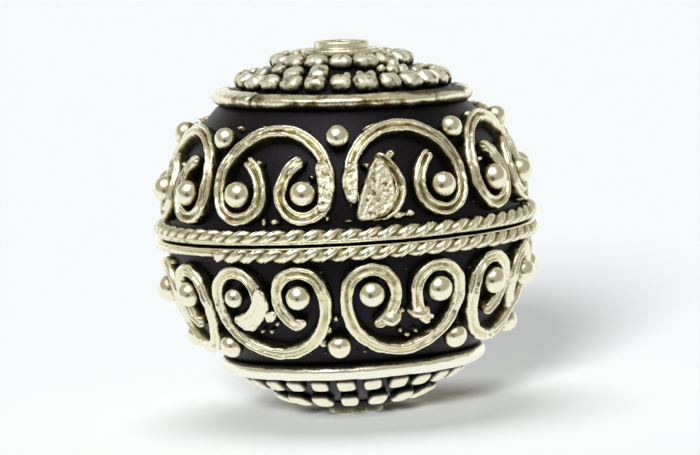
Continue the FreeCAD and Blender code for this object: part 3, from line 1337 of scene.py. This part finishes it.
@dataclass
class Eyelet:
    """The ring round the stringing hole: a neck on a wider flange."""

    half: Half
    finish: bpy.types.Material
    hole_radius: float = 0.7 * MM
    neck_radius: float = 1.0 * MM
    flange_height: float = 0.28 * MM
    # What the rubbing of its foot counts more than its height, as no wire keeps the cloth off it. A value below
    # zero is painted shade, which darkens the eyelet
    rubbing_and_painted_light: float = 0.16 * MM
    lean: float = 0.0
    rounding: float = 0.07 * MM
    steps: int = 120
    dent_grain: float = 0.4 * MM
    dent_depth: float = 0.02 * MM

    def build(self) -> bpy.types.Object:
        """Spins the stepped section round the stringing axis.

        Returns:
            The eyelet.
        """
        low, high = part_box(self.half.node("eyelet"))
        base = min(abs(low.z), abs(high.z))
        top = max(abs(low.z), abs(high.z))
        flange = base + self.flange_height
        corners = ((self.hole_radius, base), (high.x, base), (high.x, flange), (self.neck_radius, flange),
                   (self.neck_radius, top), (self.hole_radius, top))
        ring = drawn(self.half.node("eyelet_ring"), [Vector((reach, 0, level)) for reach, level in corners])
        start_edit(ring)
        bpy.ops.mesh.bevel(offset=self.rounding, segments=3, affect="VERTICES")
        bpy.ops.mesh.select_all(action="SELECT")
        bpy.ops.mesh.spin(steps=self.steps, angle=math.tau, center=CENTRE, axis=AXIS)
        end_edit(ring)
        mirrored_down(ring, self.half)
        # The relief adds the rubbing of the foot, or painted shade where the value is below zero
        mark_relief(ring, lambda point: abs(point.z) - base + self.rubbing_and_painted_light, OPEN_RELIEF)
        place(ring, leaned(self.lean))
        roughen(ring, self.dent_grain, self.dent_depth)
        finish(ring, self.finish, "wirework", self.half.node("eyelet"))
        return ring


# The studio

@dataclass
class Studio:
    """A pale floor, soft light from the upper left and a camera at the photograph's viewing angle."""

    distance: float = 165 * MM
    elevation: float = 5.5
    roll: float = 3.2
    sensor: float = 36.0
    # The bead's size and its centre in the frame, in the photograph's 700 x 455 pixels
    frame_width_px: int = 700
    pixels_per_mm: float = 27.0
    centre_right_px: float = -4.0
    centre_up_px: float = 1.5
    floor_hex: str = "#FAFAF8"
    page_hex: str = "#F8FAF9"
    near_clip: float = 1 * MM
    far_clip: float = 10.0
    floor_front: float = -16 * MM
    floor_size: float = 700 * MM
    floor_roughness: float = 0.9
    floor_specular: float = 0.1
    # Places in degrees of what the silver mirrors. The page is tilted, because in the photograph the bead leans
    # back on it
    window: Place = (57.0, -20.0)
    viewer: Place = (-12.0, -12.0)
    page: Place = (-62.0, 180.0)
    # Angles in degrees from their middles within which they are full and at which they end
    window_reach: tuple[float, float] = (20.0, 34.0)
    viewer_reach: tuple[float, float] = (10.0, 26.0)
    page_reach: tuple[float, float] = (86.0, 92.0)
    # What the walls tint the mirrored room with
    room_hex: str = "#F6F1DC"
    fill_hex: str = "#FFF5E8"
    # Brightness of the room, of what is in it, and of the soft fill on the floor
    room_level: float = 0.46
    page_level: float = 1.05
    window_level: float = 2.5
    viewer_level: float = 0.06
    fill_level: float = 0.05
    # The lamp at the left, low as in the photograph, which casts the shadow to the right
    key: Place = (18.5, -10.5)
    key_hex: str = "#F8FCFF"
    key_strength: float = 4.7
    key_spread: float = 13.0
    # The lamp overhead, which puts the soft shade under the bead
    overhead: Place = (80.0, -140.0)
    overhead_strength: float = 1.62
    overhead_spread: float = 42.0

    def camera(self) -> None:
        """Sets the camera."""
        elevation, roll = math.radians(self.elevation), math.radians(self.roll)
        forward = Vector((0, math.cos(elevation), -math.sin(elevation)))
        level_up = Vector((0, math.sin(elevation), math.cos(elevation)))
        level_right = Vector((1, 0, 0))
        right = level_right * math.cos(roll) - level_up * math.sin(roll)
        up = level_right * math.sin(roll) + level_up * math.cos(roll)
        aside = right * self.centre_right_px + up * self.centre_up_px
        data = bpy.data.cameras.new("camera")
        data.sensor_width = self.sensor
        data.lens = self.sensor * self.pixels_per_mm * self.distance / MM / self.frame_width_px
        data.clip_start = self.near_clip
        data.clip_end = self.far_clip
        camera = bpy.data.objects.new("camera", data)
        turn = Matrix((right, up, -forward)).transposed().to_4x4()
        camera.matrix_world = Matrix.Translation(
            -forward * self.distance - aside * MM / self.pixels_per_mm) @ turn
        bpy.context.scene.collection.objects.link(camera)
        bpy.context.scene.camera = camera

    def floor(self) -> None:
        """Lays the pale floor under the bead."""
        deselect()
        bpy.ops.mesh.primitive_plane_add(size=1)
        floor = added("floor")
        size = self.floor_size
        middle = Vector((0, self.floor_front + size / 2, CAD_BOX[LOWEST][Z]))
        place(floor, Matrix.Translation(middle) @ Matrix.Diagonal((size, size, 1, 1)))
        # Matt white paper without gloss, which only keeps the shadow. The silver mirrors it as the white page
        material, tree, output = new_material("matt_white_paper")
        paper = add_node(tree, "ShaderNodeBsdfPrincipled", inputs={
            "Base Color": linear(self.floor_hex), "Roughness": self.floor_roughness,
            "Specular IOR Level": self.floor_specular})
        mirrored = add_node(tree, "ShaderNodeEmission", inputs={
            "Color": linear(self.page_hex), "Strength": 1.0})
        path = add_node(tree, "ShaderNodeLightPath")
        shader = add_node(tree, "ShaderNodeMixShader", inputs={
            0: path.outputs["Is Glossy Ray"], 1: paper.outputs[0], 2: mirrored.outputs[0]})
        tree.links.new(shader.outputs[0], output.inputs["Surface"])
        floor.data.materials.append(material)

    def patch(self, tree: bpy.types.NodeTree, way: bpy.types.NodeSocket, middle: Place,
              reach: tuple[float, float], value: float,
              below: bpy.types.NodeSocket | float) -> bpy.types.NodeSocket:
        """A round soft-edged patch of the room, over what is there already.

        Args:
            tree: the world's node tree.
            way: the direction that is looked in.
            middle: place of its middle.
            reach: angles in degrees from its middle within which it is full and at which it ends.
            value: its brightness.
            below: the brightness round it.

        Returns:
            The socket with the brightness.
        """
        inner, outer = (math.cos(math.radians(angle)) for angle in reach)
        near = add_node(tree, "ShaderNodeVectorMath", {"operation": "DOT_PRODUCT"}, {
            0: way, 1: tuple(direction(*middle))})
        share = add_node(tree, "ShaderNodeMapRange", {"interpolation_type": "SMOOTHSTEP"}, {
            "Value": near.outputs["Value"], "From Min": outer, "From Max": inner})
        mixed = add_node(tree, "ShaderNodeMix", inputs={"Factor": share.outputs[0], "A": below, "B": value})
        return mixed.outputs["Result"]

    def world(self) -> None:
        """The room round the table as the silver mirrors it, and a plain white page to the camera."""
        world = bpy.data.worlds.new("white_room")
        world.use_nodes = True
        tree = world.node_tree
        tree.nodes.clear()
        way = add_node(tree, "ShaderNodeTexCoord").outputs["Generated"]
        room = self.patch(tree, way, self.page, self.page_reach, self.page_level, self.room_level)
        room = self.patch(tree, way, self.window, self.window_reach, self.window_level, room)
        room = self.patch(tree, way, self.viewer, self.viewer_reach, self.viewer_level, room)
        path = add_node(tree, "ShaderNodeLightPath")
        daylight = add_node(tree, "ShaderNodeMapRange", inputs={
            "Value": room, "From Min": self.room_level, "From Max": self.page_level})
        tint = add_node(tree, "ShaderNodeMix", {"data_type": "RGBA"}, {
            "Factor": daylight.outputs[0], "A": linear(self.room_hex), "B": linear("#FFFFFF")})
        mirrored = add_node(tree, "ShaderNodeBackground", inputs={
            "Color": tint.outputs["Result"], "Strength": room})
        plain = add_node(tree, "ShaderNodeBackground", inputs={
            "Color": linear(self.page_hex), "Strength": 1.0})
        fill = add_node(tree, "ShaderNodeBackground", inputs={
            "Color": linear(self.fill_hex), "Strength": self.fill_level})
        lit = add_node(tree, "ShaderNodeMixShader", inputs={
            0: path.outputs["Is Glossy Ray"], 1: fill.outputs[0], 2: mirrored.outputs[0]})
        seen = add_node(tree, "ShaderNodeMixShader", inputs={
            0: path.outputs["Is Camera Ray"], 1: lit.outputs[0], 2: plain.outputs[0]})
        output = add_node(tree, "ShaderNodeOutputWorld")
        tree.links.new(seen.outputs[0], output.inputs["Surface"])
        bpy.context.scene.world = world

    def lamp(self, name: str, toward: Vector, strength: float, spread: float) -> None:
        """Adds a soft sun for the floor and its shadow, which the silver doesn't mirror as a second window.

        Args:
            name: the lamp's name.
            toward: direction from the bead to the lamp.
            strength: irradiance in W/m2.
            spread: the lamp's width in degrees.
        """
        data = bpy.data.lights.new(name, "SUN")
        data.energy = strength
        data.color = linear(self.key_hex)[:3]
        data.angle = math.radians(spread)
        lamp = bpy.data.objects.new(name, data)
        lamp.matrix_world = AXIS.rotation_difference(toward).to_matrix().to_4x4()
        lamp.visible_glossy = False
        bpy.context.scene.collection.objects.link(lamp)

    def build(self) -> None:
        """Sets the whole studio."""
        self.floor()
        self.world()
        self.lamp("key_light", direction(*self.key), self.key_strength, self.key_spread)
        self.lamp("overhead_light", direction(*self.overhead), self.overhead_strength, self.overhead_spread)
        self.camera()
        bpy.context.scene.view_settings.view_transform = "Standard"


# The bead as a whole

@dataclass(frozen=True)
class PadRow:
    """A row of a cap's pressed granules: its CAD node, sizes in mm and how far it was set off its circle."""

    group: str
    length: float
    width: float
    height: float
    # Degrees towards the pole
    lift: float


@dataclass
class HalfBead:
    """One half of the bead: its pieces, and the places where it is uneven.

    Tables give places as latitude and longitude in degrees, and sizes in mm.
    """

    half: Half
    # Longitude of a spacer granule in front
    spacer_longitude: float
    wire_finish: AntiquedSilver
    collar_finish: AntiquedSilver
    cap_finish: AntiquedSilver
    plate_finish: AntiquedSilver
    # Section of the collar, across and up
    collar_outline: tuple[Row, ...]
    pad_rows: tuple[PadRow, ...]
    # Form of the pads: straight share of their sides, depth of their dents and spread of their sizes
    pad_squareness: float
    pad_dent: float
    pad_spread: float
    # Height of the edge that the rope leaves open, and low, high and reach of its plain stretch at the left
    lip_height: float
    rim_edge_low: float
    rim_edge_high: float
    rim_edge_reach: float
    # How far the foot of the eyelet was rubbed, in relief. A value below zero, as in the lower half, is painted
    # shade that darkens the eyelet at the bottom of the bead
    eyelet_wear_and_shade: float
    # Solder lumps beside the scrolls, with their place, length, width, height and turn, and places of crumbs
    nubs: tuple[Row, ...]
    crumbs: tuple[Place, ...]
    # Plates of pooled solder: name, height and corners
    plates: tuple[tuple[str, float, tuple[Place, ...]], ...]
    # Lean of the cap towards +X, and lift of its collar towards the pole, in degrees
    lean: float = 0.0
    collar_lift: float = 0.0
    # What ScrollBand, Granules and Collar say of these
    flooded: tuple[Row, ...] = ()
    drowned: tuple[Row, ...] = ()
    collar_missed_and_painted_shade: tuple[Row, ...] = ()
    # Pressed granules between the two rows, where the maker had metal left over
    stray_pads: tuple[Row, ...] = ()
    # Longitudes where the end of the collar's wire shows and where it sinks in, and how much wider and higher
    # it is than the rest
    collar_end: tuple[float, float] | None = None
    end_width_share: float = 1.07
    end_rise: float = 0.06
    curl_granule_radius: float = 0.475 * MM
    spacer_granule_radius: float = 0.43 * MM
    rim_edge_depth: float = 0.30
    rim_edge_corners: int = 12
    rim_edge_longitudes: tuple[float, float] = (-42.0, -112.0)
    rim_edge_dent: float = 0.012 * MM
    # Longitudes that the photograph doesn't show, and what lies there at random: numbers and latitudes
    hidden: tuple[float, float] = (52.0, 308.0)
    hidden_nubs: int = 26
    nub_latitudes: tuple[float, ...] = (7.2, 22.0, 24.5, 37.6)
    random_crumbs: int = 46
    crumb_latitudes: tuple[float, ...] = (7.6, 9.4, 36.8, 38.4)

    def rim(self) -> None:
        """Lays the rope, the thin edge under it and the edge's plain stretch at the left of the seam."""
        RimRope(self.half, ROPE.material()).build()
        RimLip(self.half, EDGE.material(), high=self.lip_height * MM).build()
        middle = (self.rim_edge_low + self.rim_edge_high) / 2
        rise = (self.rim_edge_high - self.rim_edge_low) / 2
        radius = self.rim_edge_reach - self.rim_edge_depth
        angles = [math.tau * i / self.rim_edge_corners for i in range(self.rim_edge_corners)]
        outline = tuple((rise * math.cos(angle), self.rim_edge_depth * math.sin(angle)) for angle in angles)
        away = math.degrees(math.atan2(middle, radius))
        WireEnd(self.half, "rim_edge", EDGE.material(), outline, away, math.hypot(middle, radius) * MM,
                *self.rim_edge_longitudes, dent_depth=self.rim_edge_dent).build()

    def scrolls(self) -> None:
        """Lays the band of scrolls with its granules."""
        ScrollBand(self.half, self.wire_finish.material(), self.spacer_longitude, ScrollShape(),
                   drowned=self.drowned).build()
        Granules(self.half, "scroll_granules", GRANULE.material(), self.curl_granule_radius,
                 flooded=self.flooded).build()
        Granules(self.half, "spacer_granules", GRANULE.material(), self.spacer_granule_radius).build()

    def cap(self) -> None:
        """Lays the collar, the eyelet and the pressed granules between them."""
        collar = Collar(self.half, self.collar_finish.material(), self.collar_outline, self.collar_missed_and_painted_shade,
                        self.collar_lift, self.lean)
        collar.build()
        Eyelet(self.half, EYELET.material(), rubbing_and_painted_light=self.eyelet_wear_and_shade * MM, lean=self.lean).build()
        for row in self.pad_rows:
            self.pads(row)
        if self.stray_pads:
            Mounds(self.half, "stray_cap_pads", self.cap_finish.material(), dent_depth=0.05 * MM,
                   lean=self.lean).build([Lump(*pad) for pad in self.stray_pads])
        if self.collar_end is not None:
            outline = tuple((across * self.end_width_share, up + self.end_rise) for across, up in collar.outline)
            WireEnd(self.half, "collar_end", collar.finish, outline, collar.latitude, SHELL_RADIUS,
                    *self.collar_end, lean=self.lean).build()

    def pads(self, row: PadRow) -> None:
        """Sets one row of pressed granules.

        Args:
            row: the row.
        """
        node = self.half.node(row.group)
        lumps = [Lump(latitude_of(seat.middle) + self.half.sign * row.lift, longitude_of(seat.middle),
                      row.length, row.width, row.height) for seat in seats(node)]
        Mounds(self.half, row.group.replace("granules", "pads"), self.cap_finish.material(),
               squareness=self.pad_squareness, size_spread=self.pad_spread, dent_depth=self.pad_dent * MM,
               lean=self.lean).build(lumps, node)

    def stray_metal(self) -> tuple[list[Lump], list[Lump]]:
        """Lumps and crumbs: those in front where they are seen, and others at random.

        Returns:
            The nubs and the crumbs.
        """
        dice = random.Random(self.half.node("stray_metal"))
        nubs = [Lump(*nub) for nub in self.nubs]
        crumbs = [Lump(*spot, dice.uniform(0.12, 0.20), dice.uniform(0.10, 0.16), dice.uniform(0.08, 0.16))
                  for spot in self.crumbs]
        for _ in range(self.hidden_nubs):
            longitude = dice.uniform(*self.hidden)
            size = dice.uniform(0.24, 0.46)
            nubs.append(Lump(self.half.sign * dice.choice(self.nub_latitudes), longitude, size,
                             size * dice.uniform(0.5, 0.9), dice.uniform(0.22, 0.40), dice.uniform(0, 180)))
        for _ in range(self.random_crumbs):
            crumbs.append(Lump(self.half.sign * dice.choice(self.crumb_latitudes), dice.uniform(-180, 180),
                               dice.uniform(0.09, 0.18), dice.uniform(0.08, 0.14), dice.uniform(0.05, 0.14),
                               dice.uniform(0, 180)))
        return nubs, crumbs

    def solder(self) -> None:
        """Lays the solder's lumps, crumbs and plates."""
        nubs, crumbs = self.stray_metal()
        Mounds(self.half, "solder_nubs", SOLDER.material(), squareness=0.05, dent_depth=0.045 * MM,
               turn_spread=4).build(nubs)
        Mounds(self.half, "solder_crumbs", SOLDER.material(), squareness=0.05, rounds=2, smooth_levels=0,
               size_spread=0.2).build(crumbs)
        for name, height, outline in self.plates:
            SolderPlate(self.half, name, self.plate_finish.material()).build(outline, height * MM)

    def build(self) -> None:
        """Builds and dresses the half."""
        HalfShell(self.half, SHELL_FINISH.material(), lean=self.lean).build()
        self.rim()
        self.scrolls()
        self.cap()
        self.solder()


def upper_half() -> HalfBead:
    """The upper half: a collar worn down towards its cap, which was set crooked, and a curl full of solder."""
    return HalfBead(
        Half.UPPER, spacer_longitude=-1.3, wire_finish=WIRE, collar_finish=COLLAR, cap_finish=CAP,
        plate_finish=PLATE, lean=1.8, collar_lift=1.2, lip_height=0.22, rim_edge_low=0.09, rim_edge_high=0.30,
        rim_edge_reach=7.09, eyelet_wear_and_shade=0.20, pad_squareness=0.36, pad_dent=0.060, pad_spread=0.10,
        pad_rows=(
            PadRow("outer_cap_granules", 0.88, 0.76, 0.42, 1.9),
            PadRow("inner_cap_granules", 0.92, 0.74, 0.40, 1.5)),
        flooded=((15.6, 10.1, 0.60, 0.36),),
        drowned=((1, 7.6, 2.4), (1, 6.2, 6.0)),
        collar_end=(-47.2, -100.0),
        collar_outline=(
            (-0.37, -0.06), (-0.37, 0.16), (-0.35, 0.30), (-0.29, 0.395), (-0.20, 0.425), (-0.10, 0.400),
            (0.02, 0.350), (0.15, 0.300), (0.25, 0.235), (0.31, 0.15), (0.33, 0.05), (0.33, -0.06)),
        # The stretch at longitude 54, on the upper right, is painted shade; the others are patina that the cloth
        # missed
        collar_missed_and_painted_shade=(
            (-58.0, 9.0, -0.20, 0.24, 0.14), (-40.0, 7.0, -0.14, 0.22, 0.12),
            (-27.0, 10.0, -0.33, 0.10, 0.09), (-17.0, 8.0, -0.36, 0.12, 0.09),
            (-44.8, 1.4, -0.10, 0.60, 0.20), (14.0, 18.0, -0.29, 0.08, 0.13),
            (0.0, 30.0, 0.24, 0.16, 0.16), (54.0, 36.0, 0.10, 0.32, 0.27)),
        stray_pads=(
            (61.4, -34.0, 0.80, 0.90, 0.38), (62.0, -16.0, 0.80, 1.00, 0.40), (60.2, 2.7, 0.34, 0.30, 0.28),
            (59.8, 10.9, 0.36, 0.44, 0.32), (59.8, 18.0, 0.40, 0.44, 0.34), (62.6, 27.0, 0.32, 0.32, 0.36),
            (61.6, 34.0, 0.48, 0.46, 0.40), (64.6, 40.0, 0.44, 0.40, 0.42), (61.8, 44.0, 0.56, 0.46, 0.38),
            (60.6, 56.0, 0.56, 0.46, 0.34), (60.8, -64.0, 0.66, 0.56, 0.34), (63.6, -51.0, 0.60, 0.50, 0.34)),
        nubs=(
            (25.3, -32.3, 0.30, 0.26, 0.40), (25.9, -28.9, 0.28, 0.24, 0.42),
            (24.0, -16.0, 1.05, 0.42, 0.44, 41), (20.7, -10.0, 0.34, 0.30, 0.46),
            (7.5, -26.1, 0.22, 0.40, 0.30), (7.5, -22.4, 0.46, 0.34, 0.34), (7.9, -5.6, 0.24, 0.34, 0.30),
            (10.2, -9.6, 0.46, 0.30, 0.34), (38.3, -43.3, 0.40, 0.26, 0.24), (38.7, -31.6, 0.40, 0.16, 0.16),
            (23.4, 8.0, 0.50, 0.34, 0.42, -40), (26.8, 16.6, 0.46, 0.42, 0.50),
            (15.6, 18.2, 0.30, 0.34, 0.46), (7.6, 16.6, 0.66, 0.40, 0.40),
            (8.0, 20.6, 0.50, 0.36, 0.30), (25.4, 30.6, 0.34, 0.34, 0.42),
            (6.9, 1.0, 0.46, 0.16, 0.22), (9.2, -38.8, 0.34, 0.30, 0.22), (9.3, 35.5, 0.30, 0.36, 0.30),
            (37.2, 12.5, 1.00, 0.20, 0.30, 16), (38.4, 21.5, 1.20, 0.20, 0.30, 2),
            (37.4, 30.0, 0.90, 0.20, 0.26, -16)),
        crumbs=(
            (38.2, -22.0), (38.0, -16.7), (37.6, -12.7), (28.3, -18.6), (38.9, -27.5), (11.3, -37.6),
            (8.1, -39.4)),
        plates=(
            ("leaf_plate", 0.56, (
                (5.8, 2.0), (10.0, 3.0), (14.0, 4.5), (18.2, 6.0), (22.3, 7.9), (26.2, 10.2),
                (25.8, 13.2), (22.2, 15.4), (18.4, 15.9), (14.6, 16.2), (11.4, 15.8), (8.6, 14.2),
                (6.7, 11.4), (5.9, 7.0))),
            ("left_lobe", 0.48, (
                (26.5, -5.4), (23.2, -3.0), (18.8, -2.0), (14.3, -2.6), (10.5, -4.1), (8.5, -7.1),
                (10.5, -9.0), (14.3, -8.0), (18.8, -8.4), (23.2, -9.4), (26.3, -8.6))),
            ("right_lobe", 0.48, (
                (25.6, 2.5), (22.4, -0.1), (18.5, -1.0), (14.8, -0.5), (11.4, 1.4), (11.0, 4.0), (14.8, 4.6),
                (18.5, 5.0), (22.4, 5.4), (25.4, 5.4)))))


def lower_half() -> HalfBead:
    """The lower half: a collar filed flat, brick-like granules in its cap, and a flooded curl at the left."""
    return HalfBead(
        Half.LOWER, spacer_longitude=-4.6, wire_finish=LOWER_WIRE, collar_finish=LOWER_COLLAR,
        cap_finish=LOWER_CAP, plate_finish=SOLDER, lip_height=0.11, rim_edge_low=0.09, rim_edge_high=0.40,
        # The eyelet's value below zero is painted shade, which darkens the eyelet at the bottom of the bead
        rim_edge_reach=7.09, eyelet_wear_and_shade=-0.36, pad_squareness=0.46, pad_dent=0.018, pad_spread=0.07,
        pad_rows=(
            PadRow("outer_cap_granules", 0.72, 0.68, 0.32, 0.0),
            PadRow("inner_cap_granules", 0.70, 0.90, 0.36, -1.3)),
        flooded=((-15.5, -37.0, 0.74, 0.10),),
        collar_outline=(
            (-0.37, -0.06), (-0.37, 0.20), (-0.345, 0.33), (-0.28, 0.41), (-0.18, 0.445), (-0.06, 0.450),
            (0.05, 0.435), (0.15, 0.395), (0.24, 0.315), (0.30, 0.20), (0.33, 0.09), (0.33, -0.06)),
        nubs=(
            (-28.2, -32.8, 0.24, 0.22, 0.26), (-28.5, -29.3, 0.26, 0.20, 0.24),
            (-25.2, -25.9, 0.28, 0.24, 0.30), (-28.0, -7.6, 0.26, 0.32, 0.36),
            (-24.3, -5.0, 0.26, 0.26, 0.30), (-24.2, 13.3, 0.96, 0.76, 0.72),
            (-22.4, 17.1, 0.28, 0.28, 0.36), (-23.0, 23.4, 0.96, 0.62, 0.68),
            (-30.1, 17.5, 0.24, 0.20, 0.26), (-30.7, 23.6, 0.26, 0.20, 0.26),
            (-32.0, 20.5, 0.30, 0.18, 0.26), (-33.2, -10.6, 0.40, 0.36, 0.34),
            (-31.2, 42.6, 0.40, 0.22, 0.36, -52), (-35.0, 39.0, 0.44, 0.16, 0.28, -48)),
        crumbs=(
            (-8.1, -12.9), (-7.8, -11.0), (-10.0, -11.2), (-8.8, -8.7), (-36.3, -15.5), (-37.7, -19.5),
            (-38.4, -40.0), (-38.1, 1.8), (-38.3, 4.9), (-34.3, 3.0), (-36.3, 8.6), (-34.7, 33.6),
            (-11.5, 43.0), (-29.6, -0.1), (-32.9, -11.0), (-30.4, -9.0)),
        plates=(
            ("flooded_curl", 0.47, (
                (-11.3, -27.6), (-15.7, -25.8), (-19.0, -25.8), (-23.8, -29.4), (-27.1, -34.4),
                (-27.3, -38.7), (-24.1, -41.2), (-21.4, -42.1), (-21.2, -36.6), (-16.8, -32.0),
                (-12.4, -30.6))),
            ("bridge", 0.44, ((-19.7, -28.7), (-19.7, -23.7), (-23.8, -24.7), (-24.5, -30.2))),
            ("flooded_foot", 0.40, ((-22.4, -22.3), (-26.7, -20.5), (-27.5, -16.0), (-22.6, -12.8)))))


@dataclass
class Bead:
    """The whole bead: its two halves, which meet at the seam."""

    halves: tuple[HalfBead, ...]

    def build(self) -> None:
        """Builds and dresses both halves."""
        for half in self.halves:
            half.build()


def main() -> None:
    """Builds the bead and its studio."""
    logging.basicConfig(level=logging.INFO, format="%(name)s: %(message)s")
    Bead((upper_half(), lower_half())).build()
    Studio().build()


if __name__ == "__main__":
    main()
